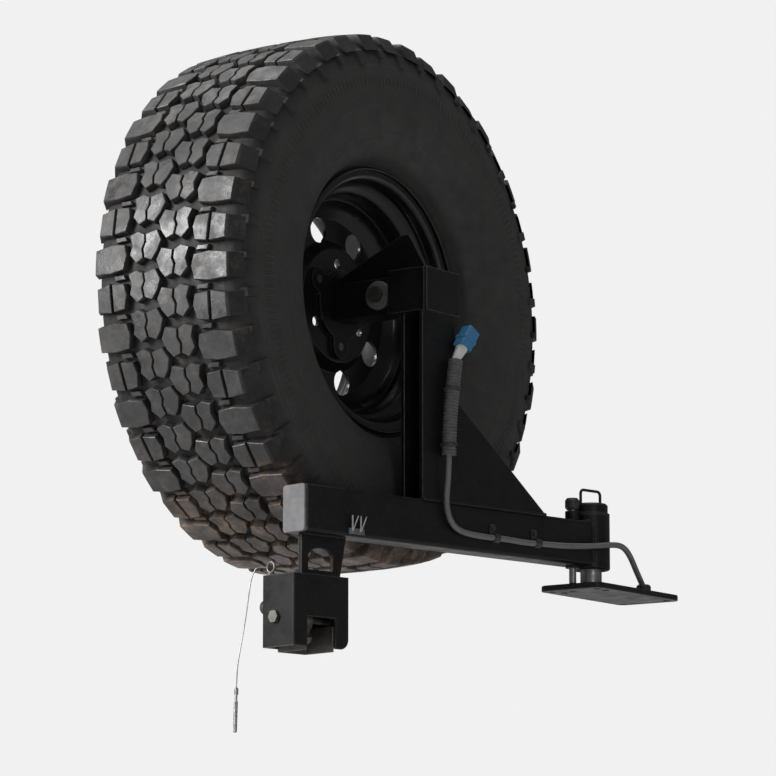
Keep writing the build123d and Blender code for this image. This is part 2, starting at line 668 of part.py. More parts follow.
latch_mid = (BOX_NEAR + BOX_FAR) / 2
latch_length = BOX_FAR - BOX_NEAR
latch_height = LATCH_TOP - LATCH_BOTTOM
THROAT_HALF = 30.0
THROAT_TOP = -92.0
with BuildPart() as latch_box:
    with BuildSketch(side_plane(LATCH_HALF_WIDTH)):
        with Locations((latch_mid, (LATCH_TOP + LATCH_BOTTOM) / 2)):
            Rectangle(latch_length, latch_height)
    extrude(amount=2 * LATCH_HALF_WIDTH)
    near_foot = latch_box.edges().filter_by(Axis((0, 0, 0), inward)).sort_by(Axis.Z)[:2]
    fillet(near_foot.sort_by(Axis.X)[-1:], radius=LATCH_CORNER)
    fillet(latch_box.edges().filter_by(Axis.Z), radius=3)
    with BuildSketch(level(LATCH_BOTTOM - 1)):
        with Locations((latch_mid, 0)):
            Rectangle(latch_length - 2 * LATCH_WALL, 2 * LATCH_HALF_WIDTH - 2 * LATCH_WALL)
    extrude(amount=latch_height + 1 - LATCH_WALL, mode=Mode.SUBTRACT)
    with BuildSketch(side_plane(LATCH_HALF_WIDTH + 1)):
        with Locations((CLAW_T, THROAT_TOP - 30)):
            Rectangle(2 * THROAT_HALF, 60)
    extrude(amount=LATCH_WALL + 6, mode=Mode.SUBTRACT)
    with BuildSketch(across(BOX_NEAR - 5)):
        with Locations((CLAW_S, CLAW_Z)):
            Circle(CLAW_PIN_RADIUS)
    extrude(amount=latch_length + 10, mode=Mode.SUBTRACT)
    with BuildSketch(side_plane(0)):
        with Locations((RELEASE_T, RELEASE_Z)):
            Circle(RELEASE_ROD_RADIUS + 0.4)
    extrude(amount=LATCH_HALF_WIDTH + 5, mode=Mode.SUBTRACT)
save(latch_box, "latch_box")

LINER_THICK = 3.0
LINER_TOP = -104.0
liner_side = LATCH_HALF_WIDTH - LATCH_WALL
with BuildPart() as latch_guide:
    with BuildSketch(level(LATCH_BOTTOM - 5)):
        with Locations((CLAW_T, 0)):
            Rectangle(2 * THROAT_HALF, 2 * liner_side)
        with Locations((CLAW_T, LINER_THICK)):
            Rectangle(2 * THROAT_HALF - 2 * LINER_THICK, 2 * liner_side, mode=Mode.SUBTRACT)
    extrude(amount=LINER_TOP - LATCH_BOTTOM + 5)
save(latch_guide, "latch_guide")

with BuildPart() as claw_pivot:
    with BuildSketch(across(BOX_NEAR - 3)):
        with Locations((CLAW_S, CLAW_Z)):
            Circle(9)
    extrude(amount=3)
    with BuildSketch(across(BOX_NEAR)):
        with Locations((CLAW_S, CLAW_Z)):
            Circle(CLAW_PIN_RADIUS)
    extrude(amount=latch_length)
    with BuildSketch(across(BOX_FAR)):
        with Locations((CLAW_S, CLAW_Z)):
            RegularPolygon(9, 6, major_radius=False)
    extrude(amount=6)
save(claw_pivot, "claw_pivot")

MOUTH_RADIUS = 8.0
with BuildPart() as latch_claw:
    with BuildSketch(across(CLAW_T - CLAW_HALF_THICK)):
        with Locations((CLAW_S, CLAW_Z)):
            Circle(15)
            with Locations((1, -13)):
                Rectangle(24, 26)
            with Locations((1, -26)):
                Circle(12)
            with Locations((15, -21)):
                Circle(MOUTH_RADIUS, mode=Mode.SUBTRACT)
            Circle(CLAW_PIN_RADIUS + RUNNING_GAP, mode=Mode.SUBTRACT)
    extrude(amount=2 * CLAW_HALF_THICK)
save(latch_claw, "latch_claw")

wall_side = -LATCH_HALF_WIDTH
KNOB_GAP = 3.0
KNOB_LENGTH = 13.0
with BuildPart() as release_rod:
    with BuildSketch(side_plane(6)):
        with Locations((RELEASE_T, RELEASE_Z)):
            Circle(RELEASE_ROD_RADIUS)
    extrude(amount=6 + LATCH_HALF_WIDTH + KNOB_GAP)
    with BuildSketch(side_plane(10)):
        with Locations((RELEASE_T, RELEASE_Z)):
            Circle(8)
    extrude(amount=4)
save(release_rod, "release_rod")

with BuildPart() as release_knob:
    with BuildSketch(side_plane(wall_side - KNOB_GAP)):
        with Locations((RELEASE_T, RELEASE_Z)):
            Circle(11)
    extrude(amount=KNOB_LENGTH)
    knob_rims = release_knob.edges().filter_by(GeomType.CIRCLE)
    chamfer(knob_rims, length=2.5)
save(release_knob, "release_knob")

release_spring = coil_spring(
    arm_point(RELEASE_T, 5, RELEASE_Z), -inward,
    6.8, 0.8, LATCH_HALF_WIDTH - LATCH_WALL + 4, 6,
)
save(release_spring, "release_spring")

EYE_T = 704.0
EYE_S = -27.0
EYE_Z = LATCH_TOP + 10
with BuildPart() as lanyard_eye:
    with BuildSketch(level(LATCH_TOP)):
        with Locations((EYE_T, EYE_S)):
            Circle(6)
    extrude(amount=4)
    eye_centre = arm_point(EYE_T, EYE_S, EYE_Z + 3)
    with Locations(Plane(origin=eye_centre, z_dir=along)):
        Torus(8, 2)
save(lanyard_eye, "lanyard_eye")

# The lanyard hangs from the eye, outboard of the housing, and carries the safety pin.
lanyard_route = [
    arm_point(EYE_T, EYE_S - 10, EYE_Z + 3), arm_point(EYE_T + 6, EYE_S - 17, EYE_Z + 6),
    arm_point(EYE_T + 12, EYE_S - 24, EYE_Z + 1), arm_point(EYE_T + 16, EYE_S - 29, EYE_Z - 16),
    arm_point(EYE_T + 18, EYE_S - 32, EYE_Z - 43), arm_point(EYE_T + 20, EYE_S - 35, EYE_Z - 71),
    arm_point(EYE_T + 23, EYE_S - 38, EYE_Z - 98), arm_point(EYE_T + 27, EYE_S - 41, EYE_Z - 126),
    arm_point(EYE_T + 31, EYE_S - 43, EYE_Z - 155), arm_point(EYE_T + 32, EYE_S - 43, EYE_Z - 184),
]
lanyard_cable = cord(lanyard_route, LANYARD_RADIUS, "lanyard_cable")
save(lanyard_cable, "lanyard_cable")

lanyard_end = lanyard_route[-1]
hang = (lanyard_route[-1] - lanyard_route[-2]).normalized()
crimp_plane = Plane(origin=lanyard_end, z_dir=hang)
with BuildPart() as lanyard_crimp:
    with BuildSketch(crimp_plane):
        Circle(3.2)
    extrude(amount=11)
    chamfer(lanyard_crimp.edges().filter_by(GeomType.CIRCLE), length=0.8)
save(lanyard_crimp, "lanyard_crimp")

PIN_LENGTH = 58.0
with BuildPart() as lanyard_pin:
    with BuildSketch(crimp_plane.offset(11)):
        Circle(2)
    extrude(amount=10)
    with BuildSketch(crimp_plane.offset(21)):
        Circle(3)
    extrude(amount=PIN_LENGTH - 10)
    chamfer(lanyard_pin.faces().sort_by(Axis.Z)[0].edges(), length=1.2)
save(lanyard_pin, "lanyard_pin")

# A sprung wire keeper on the arm's lower inner face, where the pin is parked.
KEEPER_T = 572.0
KEEPER_WIRE = 1.6
arm_face = ARM_WIDTH / 2
with BuildPart() as pin_keeper:
    with BuildSketch(side_plane(arm_face + 3)):
        with Locations((KEEPER_T, ARM_BOTTOM + 8)):
            Rectangle(34, 9)
    extrude(amount=3)
    for reach in (KEEPER_T - 9, KEEPER_T + 9):
        for lean in (-6, 6):
            with BuildLine() as prong:
                Line(arm_point(reach, arm_face + 2.5, ARM_BOTTOM + 8),
                     arm_point(reach + lean, arm_face + 9, ARM_BOTTOM + 32))
            with BuildSketch(Plane(origin=prong.line @ 0, z_dir=prong.line % 0)):
                Circle(KEEPER_WIRE)
            sweep(path=prong.line)
save(pin_keeper, "pin_keeper")

# =============================================================================================
# Wiring: connector, boot, sleeve, conduit, clips and ties
# =============================================================================================
LOOM_T = 378.0
LOOM_S = ARM_WIDTH / 2 + SLEEVE_RADIUS + 3
SLEEVE_BOTTOM = 190.0
SLEEVE_TOP = 347.0
sleeve_route = [
    arm_point(LOOM_T, LOOM_S, SLEEVE_BOTTOM), arm_point(LOOM_T - 2, LOOM_S, SLEEVE_BOTTOM + 52),
    arm_point(LOOM_T - 7, LOOM_S + 1, SLEEVE_BOTTOM + 106), arm_point(LOOM_T - 16, LOOM_S, SLEEVE_TOP),
]
loom_sleeve = cord(sleeve_route, SLEEVE_RADIUS, "loom_sleeve")
save(loom_sleeve, "loom_sleeve")

BOOT_LENGTH = 26.0
PLUG_LENGTH = 38.0
sleeve_rise = (sleeve_route[-1] - sleeve_route[-2]).normalized()
plug_lean = (sleeve_rise * 2 - along).normalized()
sleeve_mouth = Plane(origin=sleeve_route[-1], x_dir=inward, z_dir=sleeve_rise)
boot_plane = Plane(origin=sleeve_route[-1] + plug_lean * BOOT_LENGTH, x_dir=inward, z_dir=plug_lean)
with BuildPart() as connector_boot:
    with BuildSketch(sleeve_mouth):
        Circle(7)
    with BuildSketch(boot_plane):
        Circle(10)
    loft()
save(connector_boot, "connector_boot")

with BuildPart() as loom_connector:
    with BuildSketch(boot_plane):
        RectangleRounded(22, 25, 3)
    extrude(amount=PLUG_LENGTH)
    with BuildSketch(boot_plane.offset(14)):
        RectangleRounded(25, 28, 3)
    extrude(amount=6)
save(loom_connector, "loom_connector")

# The conduit runs down from the sleeve, turns along the arm's inner face and stops at the hub.
run_side = ARM_WIDTH / 2 + CONDUIT_RADIUS + 2.7
RUN_Z = 66.0
conduit_route = [
    sleeve_route[0], sleeve_route[0] + (sleeve_route[0] - sleeve_route[1]) * 0.7,
    arm_point(LOOM_T, run_side + 1, 120), arm_point(LOOM_T - 4, run_side, 97),
    arm_point(LOOM_T - 16, run_side, 78), arm_point(LOOM_T - 36, run_side + 1, RUN_Z + 3),
    arm_point(LOOM_T - 80, run_side, RUN_Z), arm_point(LOOM_T - 134, run_side + 1, RUN_Z + 1),
    arm_point(LOOM_T - 186, run_side, RUN_Z - 1), arm_point(LOOM_T - 236, run_side + 1, RUN_Z + 1),
    arm_point(LOOM_T - 278, run_side, RUN_Z + 2), arm_point(LOOM_T - 306, run_side + 2, RUN_Z + 4),
]
conduit = cord(conduit_route, CONDUIT_RADIUS, "conduit")
save(conduit, "conduit")

tail_start = (conduit_route[-1] - conduit_route[-2]).normalized()
tail_route = [
    conduit_route[-1], conduit_route[-1] + tail_start * 29, Vector(-20, -46, RUN_Z + 10),
    Vector(12, -49, RUN_Z + 13), Vector(44, -42, RUN_Z + 9), Vector(74, -33, RUN_Z - 2),
    Vector(102, -24, RUN_Z - 17), Vector(127, -17, RUN_Z - 31), Vector(GLAND_X - 4, -11.5, 24),
]
conduit_tail = cord(tail_route, CONDUIT_RADIUS, "conduit_tail")
save(conduit_tail, "conduit_tail")

CLIP_REACHES = (LOOM_T - 114, LOOM_T - 212)
with BuildPart() as loom_clips:
    for reach in CLIP_REACHES:
        with BuildSketch(across(reach - 6)):
            with Locations((run_side + 0.5, RUN_Z + 0.3)):
                Circle(CONDUIT_RADIUS + 2.6)
                Circle(CONDUIT_RADIUS + 1.1, mode=Mode.SUBTRACT)
            with Locations((ARM_WIDTH / 2 + 0.75, RUN_Z + 12)):
                Rectangle(1.5, 24)
        extrude(amount=12)
        with BuildSketch(side_plane(ARM_WIDTH / 2 + 5.5)):
            with Locations((reach, RUN_Z + 17)):
                RegularPolygon(4.5, 6)
        extrude(amount=4)
save(loom_clips, "loom_clips")

with BuildPart() as zip_ties:
    for reach, height in ((LOOM_T, SLEEVE_BOTTOM + 14), (LOOM_T - 7, SLEEVE_BOTTOM + 106)):
        with BuildSketch(level(height)):
            with Locations((reach, LOOM_S)):
                Circle(SLEEVE_RADIUS + 2.4)
                Circle(SLEEVE_RADIUS + 1.4, mode=Mode.SUBTRACT)
        extrude(amount=4.5)
save(zip_ties, "zip_ties")
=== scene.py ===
import json
import math
import random

import bpy
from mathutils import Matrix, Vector


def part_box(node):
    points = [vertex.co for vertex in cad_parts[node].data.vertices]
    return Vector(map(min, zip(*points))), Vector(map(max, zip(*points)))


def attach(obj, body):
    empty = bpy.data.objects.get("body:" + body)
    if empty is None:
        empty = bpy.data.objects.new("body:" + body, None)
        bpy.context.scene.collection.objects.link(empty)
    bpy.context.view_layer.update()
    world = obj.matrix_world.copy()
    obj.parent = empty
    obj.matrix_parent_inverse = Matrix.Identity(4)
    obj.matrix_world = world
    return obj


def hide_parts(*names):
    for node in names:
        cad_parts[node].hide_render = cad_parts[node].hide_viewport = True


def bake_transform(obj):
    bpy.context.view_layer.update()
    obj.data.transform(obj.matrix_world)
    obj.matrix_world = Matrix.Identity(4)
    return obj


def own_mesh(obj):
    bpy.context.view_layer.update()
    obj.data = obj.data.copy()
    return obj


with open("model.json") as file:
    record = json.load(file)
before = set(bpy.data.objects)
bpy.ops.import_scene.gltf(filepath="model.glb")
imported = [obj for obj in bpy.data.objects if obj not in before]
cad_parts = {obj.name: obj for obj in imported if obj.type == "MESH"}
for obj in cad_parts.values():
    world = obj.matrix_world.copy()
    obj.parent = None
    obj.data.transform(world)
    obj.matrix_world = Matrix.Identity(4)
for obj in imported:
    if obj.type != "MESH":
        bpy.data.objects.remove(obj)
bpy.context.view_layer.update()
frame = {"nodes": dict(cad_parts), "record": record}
nodes = frame["nodes"]
random.seed(7)

# ---------------------------------------------------------------------------------------------
# Places worked out from the frame, in metres
# ---------------------------------------------------------------------------------------------
tyre_low, tyre_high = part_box("tyre")
WHEEL_X = (tyre_low.x + tyre_high.x) / 2
WHEEL_Y = (tyre_low.y + tyre_high.y) / 2
WHEEL_Z = (tyre_low.z + tyre_high.z) / 2
TYRE_R = (tyre_high.z - tyre_low.z) / 2
SWEEP = math.radians(10)
ALONG = Vector((-math.cos(SWEEP), math.sin(SWEEP), 0))
INWARD = Vector((-math.sin(SWEEP), -math.cos(SWEEP), 0))
MM = 0.001


def arm_point(reach, side, height):
    """A point given in millimetres along the arm, towards its inner side, and up."""
    return (ALONG * reach + INWARD * side + Vector((0, 0, height))) * MM


# ---------------------------------------------------------------------------------------------
# Camera, floor and light
# ---------------------------------------------------------------------------------------------
CAMERA_AT = Vector((-5.51, -3.52, -0.74))
AIM_AT = Vector((-0.355, 0.164, 0.316))
FLOOR_Z = -0.82


def make_camera():
    """The camera, at the place and angle that the object is shown from."""
    data = bpy.data.cameras.new("camera")
    data.lens = 182
    data.sensor_width = 36
    data.clip_end = 100
    camera = bpy.data.objects.new("camera", data)
    camera.location = CAMERA_AT
    camera.rotation_euler = (AIM_AT - CAMERA_AT).to_track_quat("-Z", "Y").to_euler()
    bpy.context.collection.objects.link(camera)
    bpy.context.scene.camera = camera


def area_light(name, place, aim, size, power):
    """A rectangular lamp that points from its place to its aim."""
    data = bpy.data.lights.new(name, "AREA")
    data.shape = "RECTANGLE"
    data.size, data.size_y = size
    data.energy = power
    lamp = bpy.data.objects.new(name, data)
    lamp.location = place
    lamp.rotation_euler = (Vector(aim) - Vector(place)).to_track_quat("-Z", "Y").to_euler()
    bpy.context.collection.objects.link(lamp)


def make_world():
    """Pale where the camera sees it, and dim where it lights the object."""
    world = bpy.data.worlds.new("studio")
    bpy.context.scene.world = world
    world.use_nodes = True
    tree = world.node_tree
    tree.nodes.clear()
    out = tree.nodes.new("ShaderNodeOutputWorld")
    seen = tree.nodes.new("ShaderNodeBackground")
    seen.inputs["Color"].default_value = (0.88, 0.88, 0.88, 1)
    lit = tree.nodes.new("ShaderNodeBackground")
    lit.inputs["Strength"].default_value = 0.14
    path = tree.nodes.new("ShaderNodeLightPath")
    mix = tree.nodes.new("ShaderNodeMixShader")
    tree.links.new(path.outputs["Is Camera Ray"], mix.inputs["Fac"])
    tree.links.new(lit.outputs["Background"], mix.inputs[1])
    tree.links.new(seen.outputs["Background"], mix.inputs[2])
    tree.links.new(mix.outputs["Shader"], out.inputs["Surface"])


def make_stage():
    """The world, three lamps and the floor."""
    bpy.context.scene.view_settings.view_transform = "Standard"
    make_world()
    area_light("key", (-4.4, 2.5, 2.0), (-0.4, 0.2, 0.3), (1.8, 2.4), 330)
    area_light("top", (-0.6, 0.9, 3.8), (-0.4, 0.3, 0.4), (4.0, 4.0), 95)
    area_light("edge", (-2.7, -4.0, 0.9), (-0.35, 0.1, 0.35), (0.45, 2.2), 18)
    mesh = bpy.data.meshes.new("floor")
    half = 14
    corners = [(x * half, y * half, FLOOR_Z) for x, y in ((-1, -1), (1, -1), (1, 1), (-1, 1))]
    mesh.from_pydata(corners, [], [(0, 1, 2, 3)])
    floor = bpy.data.objects.new("floor", mesh)
    bpy.context.collection.objects.link(floor)
    mesh.materials.append(pale_floor())


# ---------------------------------------------------------------------------------------------
# Material building blocks
# ---------------------------------------------------------------------------------------------
class Paint:
    """A node material with short calls for the textures and mixes that the finishes share."""

    def __init__(self, name, metallic=0.0, roughness=0.5, sheen=0.5):
        self.material = bpy.data.materials.new(name)
        self.material.use_nodes = True
        self.tree = self.material.node_tree
        self.nodes = self.tree.nodes
        self.shader = self.nodes["Principled BSDF"]
        self.shader.inputs["Metallic"].default_value = metallic
        self.shader.inputs["Roughness"].default_value = roughness
        self.shader.inputs["Specular IOR Level"].default_value = sheen
        self.place = self.nodes.new("ShaderNodeTexCoord").outputs["Object"]

    def join(self, source, target):
        self.tree.links.new(source, target)

    def noise(self, scale, detail=4.0, roughness=0.55, stretch=None):
        node = self.nodes.new("ShaderNodeTexNoise")
        node.inputs["Scale"].default_value = scale
        node.inputs["Detail"].default_value = detail
        node.inputs["Roughness"].default_value = roughness
        source = self.place
        if stretch:
            mapping = self.nodes.new("ShaderNodeMapping")
            mapping.inputs["Scale"].default_value = stretch
            self.join(self.place, mapping.inputs["Vector"])
            source = mapping.outputs["Vector"]
        self.join(source, node.inputs["Vector"])
        return node.outputs["Fac"]

    def ramp(self, value, stops):
        """A ramp between two stops, each a position with a grey level or a colour."""
        node = self.nodes.new("ShaderNodeValToRGB")
        for element, (position, colour) in zip(node.color_ramp.elements, stops):
            element.position = position
            shade = colour if isinstance(colour, tuple) else (colour,) * 3
            element.color = (*shade, 1)
        self.join(value, node.inputs["Fac"])
        return node.outputs["Color"]

    def maths(self, operation, first, second):
        node = self.nodes.new("ShaderNodeMath")
        node.operation = operation
        node.use_clamp = True
        for socket, value in zip(node.inputs, (first, second)):
            if isinstance(value, (int, float)):
                socket.default_value = value
            else:
                self.join(value, socket)
        return node.outputs["Value"]

    def span(self, value, low, high, start=0.0, end=1.0):
        node = self.nodes.new("ShaderNodeMapRange")
        self.join(value, node.inputs["Value"])
        for socket, number in zip(list(node.inputs)[1:5], (low, high, start, end)):
            socket.default_value = number
        return node.outputs["Result"]

    def mix(self, share, first, second):
        node = self.nodes.new("ShaderNodeMix")
        node.data_type = "RGBA"
        self.join(share, node.inputs["Factor"])
        for socket, value in ((node.inputs[6], first), (node.inputs[7], second)):
            if isinstance(value, tuple):
                socket.default_value = (*value, 1)
            else:
                self.join(value, socket)
        return node.outputs[2]

    def height(self):
        split = self.nodes.new("ShaderNodeSeparateXYZ")
        self.join(self.place, split.inputs["Vector"])
        return split.outputs["Z"]

    def upward(self):
        geometry = self.nodes.new("ShaderNodeNewGeometry")
        split = self.nodes.new("ShaderNodeSeparateXYZ")
        self.join(geometry.outputs["Normal"], split.inputs["Vector"])
        return split.outputs["Z"]

    def edges(self, radius):
        """One on edges and corners, falling to zero a radius away from them."""
        rounded = self.nodes.new("ShaderNodeBevel")
        rounded.samples = 4
        rounded.inputs["Radius"].default_value = radius
        geometry = self.nodes.new("ShaderNodeNewGeometry")
        likeness = self.nodes.new("ShaderNodeVectorMath")
        likeness.operation = "DOT_PRODUCT"
        self.join(rounded.outputs["Normal"], likeness.inputs[0])
        self.join(geometry.outputs["Normal"], likeness.inputs[1])
        return self.span(likeness.outputs["Value"], 0.985, 0.80)

    def colour(self, source):
        self.join(source, self.shader.inputs["Base Color"])

    def rough(self, source):
        self.join(source, self.shader.inputs["Roughness"])

    def bump(self, value, strength, distance):
        node = self.nodes.new("ShaderNodeBump")
        node.inputs["Strength"].default_value = strength
        node.inputs["Distance"].default_value = distance
        self.join(value, node.inputs["Height"])
        previous = self.shader.inputs["Normal"]
        if previous.is_linked:
            self.join(previous.links[0].from_socket, node.inputs["Normal"])
        self.join(node.outputs["Normal"], previous)


def pale_floor():
    """A matt pale floor that glows softly further out, like a lit studio cove."""
    paint = Paint("pale_floor", roughness=0.9)
    flat = paint.nodes.new("ShaderNodeVectorMath")
    flat.operation = "LENGTH"
    paint.join(paint.place, flat.inputs[0])
    glow = paint.span(flat.outputs["Value"], 1.2, 6.0)
    near = paint.ramp(paint.noise(1.5), [(0.3, (0.50, 0.50, 0.50)), (0.7, (0.53, 0.53, 0.53))])
    paint.colour(paint.mix(glow, near, (0.04, 0.04, 0.04)))
    paint.shader.inputs["Emission Color"].default_value = (1, 1, 1, 1)
    paint.join(paint.span(glow, 0.0, 1.0, 0.0, 0.8), paint.shader.inputs["Emission Strength"])
    paint.bump(paint.noise(40), 0.05, 0.002)
    return paint.material


def powder_coat(name, tone=0.005, dust=0.3):
    """Satin black powder coat: fine orange peel, trail dust on top faces, grey scuffs, and grey on the edges
    that is partly rubbed paint and partly a painted highlight.
    """
    paint = Paint(name, sheen=0.28)
    base = paint.ramp(paint.noise(14, 6), [(0.3, tone * 0.8), (0.75, tone * 1.35)])
    scuffs = paint.maths("MULTIPLY", paint.ramp(paint.noise(120, 6), [(0.52, 0.0), (0.62, 1.0)]), 0.35)
    base = paint.mix(paint.maths("MULTIPLY", scuffs, 0.3), base, (0.04, 0.039, 0.037))
    film = paint.ramp(paint.noise(22, 8, 0.65), [(0.35, 0.15), (0.75, 1.0)])
    top = paint.span(paint.upward(), 0.2, 0.95, 0.0, dust)
    base = paint.mix(paint.maths("MULTIPLY", top, film), base, (0.13, 0.115, 0.1))
    # Edges lightened to grey: partly rubbed paint, partly a painted highlight along the rounded edges.
    rubbed_and_highlit = paint.ramp(paint.noise(70, 7, 0.7), [(0.35, 0.25), (0.65, 0.8)])
    base = paint.mix(paint.maths("MULTIPLY", paint.edges(0.003), rubbed_and_highlit), base, (0.16, 0.16, 0.16))
    paint.colour(base)
    paint.rough(paint.ramp(paint.noise(30, 5), [(0.3, 0.34), (0.7, 0.52)]))
    paint.bump(paint.noise(900, 2), 0.12, 0.0004)
    paint.bump(paint.noise(60, 3), 0.06, 0.001)
    return paint.material


def worn_paint(name):
    """Weathered grey paint, as on the arm's end cap, with streaks and mud splash."""
    paint = Paint(name)
    base = paint.ramp(paint.noise(35, 7, 0.6), [(0.3, (0.085, 0.085, 0.09)), (0.7, (0.15, 0.15, 0.155))])
    splash = paint.ramp(paint.noise(90, 8, 0.7), [(0.55, 0.0), (0.68, 1.0)])
    paint.colour(paint.mix(paint.maths("MULTIPLY", splash, 0.5), base, (0.2, 0.16, 0.12)))
    paint.rough(paint.ramp(paint.noise(50), [(0.3, 0.45), (0.7, 0.7)]))
    paint.bump(paint.noise(400, 3), 0.15, 0.0006)
    return paint.material


def plated(name, tone, low=0.28, high=0.5, stain=0.3):
    """Zinc-plated or bare steel with soft staining and a fine grain."""
    paint = Paint(name, metallic=1.0)
    base = paint.ramp(paint.noise(60, 6), [(0.3, tuple(c * 0.72 for c in tone)), (0.7, tone)])
    spots = paint.ramp(paint.noise(260, 6, 0.7), [(0.58, 0.0), (0.7, 1.0)])
    paint.colour(paint.mix(paint.maths("MULTIPLY", spots, stain), base, (0.14, 0.09, 0.055)))
    paint.rough(paint.ramp(paint.noise(140, 4), [(0.3, low), (0.7, high)]))
    paint.bump(paint.noise(1500, 2, stretch=(1, 1, 0.15)), 0.08, 0.0003)
    return paint.material


def plastic(name, tone, low=0.4, high=0.6, dust=0.2):
    """Moulded plastic with a faint grain and settled dust."""
    paint = Paint(name)
    base = paint.ramp(paint.noise(40, 5), [(0.3, tuple(c * 0.82 for c in tone)), (0.75, tone)])
    film = paint.ramp(paint.noise(120, 8, 0.7), [(0.45, 0.0), (0.8, 1.0)])
    paint.colour(paint.mix(paint.maths("MULTIPLY", film, dust), base, (0.2, 0.17, 0.14)))
    paint.rough(paint.ramp(paint.noise(80), [(0.3, low), (0.7, high)]))
    paint.bump(paint.noise(1400, 2), 0.1, 0.0003)
    return paint.material


def wheel_gloss(name):
    """Gloss black wheel enamel with dust in the barrel, light haze, and a painted highlight along its edges.
    """
    paint = Paint(name, sheen=0.25)
    base = paint.ramp(paint.noise(18, 5), [(0.3, 0.003), (0.7, 0.006)])
    haze = paint.ramp(paint.noise(35, 8, 0.7), [(0.45, 0.0), (0.8, 1.0)])
    base = paint.mix(paint.maths("MULTIPLY", haze, 0.2), base, (0.03, 0.028, 0.026))
    # Painted highlight: the edges are lightened to grey, standing in for light caught on the rim's rounded
    # edges.
    base = paint.mix(paint.edges(0.0015), base, (0.05, 0.05, 0.05))
    paint.colour(base)
    paint.shader.inputs["Coat Weight"].default_value = 0.3
    paint.shader.inputs["Coat Roughness"].default_value = 0.15
    paint.rough(paint.ramp(paint.noise(25, 6), [(0.3, 0.24), (0.75, 0.5)]))
    paint.bump(paint.noise(500, 2), 0.05, 0.0004)
    return paint.material


def distance_from_wheel_axis(paint):
    """How far a point is from the wheel's axis, for finishes that change with the radius."""
    shift = paint.nodes.new("ShaderNodeVectorMath")
    shift.operation = "SUBTRACT"
    paint.join(paint.place, shift.inputs[0])
    shift.inputs[1].default_value = (WHEEL_X, WHEEL_Y, WHEEL_Z)
    flat = paint.nodes.new("ShaderNodeVectorMath")
    flat.operation = "MULTIPLY"
    paint.join(shift.outputs["Vector"], flat.inputs[0])
    flat.inputs[1].default_value = (1, 0, 1)
    length = paint.nodes.new("ShaderNodeVectorMath")
    length.operation = "LENGTH"
    paint.join(flat.outputs["Vector"], length.inputs[0])
    return length.outputs["Value"]


def tyre_rubber(name):
    """Tyre rubber: near-black sidewalls, painted shade darkening the grooves, block walls and upper
    shoulders, scrubbed grey lug tops, tan mud packed on the lowest tread.
    """
    paint = Paint(name)
    base = paint.ramp(paint.noise(16, 6), [(0.3, (0.027, 0.026, 0.025)), (0.75, (0.038, 0.0365, 0.035))])
    radius = distance_from_wheel_axis(paint)
    # Painted shade: within about 30 mm of the tread face (groove floors, block walls, upper shoulders) the
    # rubber is darkened as if in shadow; the lug tops are lifted back out below.
    base = paint.mix(paint.span(radius, TYRE_R - 0.06, TYRE_R - 0.03), base, (0.009, 0.009, 0.009))
    on_top = paint.span(radius, TYRE_R - 0.011, TYRE_R - 0.0065)
    patches = paint.ramp(paint.noise(9, 3), [(0.4, 0.35), (0.6, 1.0)])
    scrub = paint.ramp(paint.noise(55, 9, 0.7), [(0.32, 0.1), (0.62, 0.9)])
    scrub = paint.maths("MULTIPLY", scrub, patches)
    base = paint.mix(paint.maths("MULTIPLY", on_top, scrub), base, (0.058, 0.056, 0.055))
    near_tread = paint.span(radius, TYRE_R - 0.05, TYRE_R - 0.02)
    specks = paint.ramp(paint.noise(38, 9, 0.75), [(0.53, 0.0), (0.66, 1.0)])
    specks = paint.maths("MULTIPLY", specks, 0.35)
    base = paint.mix(paint.maths("MULTIPLY", near_tread, specks), base, (0.11, 0.08, 0.066))
    ragged = paint.maths("ADD", paint.height(), paint.span(paint.noise(16, 6, 0.7), 0.3, 0.7, 0.0, 0.22))
    low = paint.span(ragged, 0.12, 0.27, 1.0, 0.0)
    mud = paint.ramp(paint.noise(34, 9, 0.75), [(0.38, (0.028, 0.019, 0.014)), (0.66, (0.27, 0.185, 0.13))])
    patchy = paint.ramp(paint.noise(20, 8, 0.75), [(0.42, 0.2), (0.58, 0.95)])
    base = paint.mix(paint.maths("MULTIPLY", paint.maths("MULTIPLY", low, near_tread), patchy), base, mud)
    paint.colour(base)
    dull = paint.ramp(paint.noise(45, 6), [(0.3, 0.62), (0.7, 0.86)])
    worn = paint.ramp(paint.noise(24, 7, 0.65), [(0.38, 0.27), (0.6, 0.6)])
    paint.rough(paint.mix(on_top, dull, worn))
    paint.bump(paint.noise(700, 3), 0.2, 0.0005)
    paint.bump(paint.noise(90, 6, 0.7), 0.35, 0.0016)
    return paint.material


def braided(name, tone):
    """Dusty corrugated loom sleeving."""
    paint = Paint(name)
    base = paint.ramp(paint.noise(70, 6), [(0.3, tuple(c * 0.6 for c in tone)), (0.7, tone)])
    film = paint.ramp(paint.noise(150, 8, 0.7), [(0.45, 0.0), (0.75, 1.0)])
    paint.colour(paint.mix(paint.maths("MULTIPLY", film, 0.35), base, (0.24, 0.21, 0.18)))
    paint.rough(paint.ramp(paint.noise(90), [(0.3, 0.5), (0.7, 0.75)]))
    paint.bump(paint.noise(900, 2), 0.15, 0.0003)
    return paint.material


# ---------------------------------------------------------------------------------------------
# Mesh building blocks
# ---------------------------------------------------------------------------------------------
def place_mesh(name, points, faces, body, material, smooth=True):
    """A mesh object that rides on a body."""
    mesh = bpy.data.meshes.new(name)
    mesh.from_pydata([tuple(point) for point in points], [], faces)
    mesh.materials.append(material)
    if smooth:
        mesh.shade_smooth()
    mesh.update()
    piece = bpy.data.objects.new(name, mesh)
    bpy.context.collection.objects.link(piece)
    if body:
        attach(piece, body)
    return piece


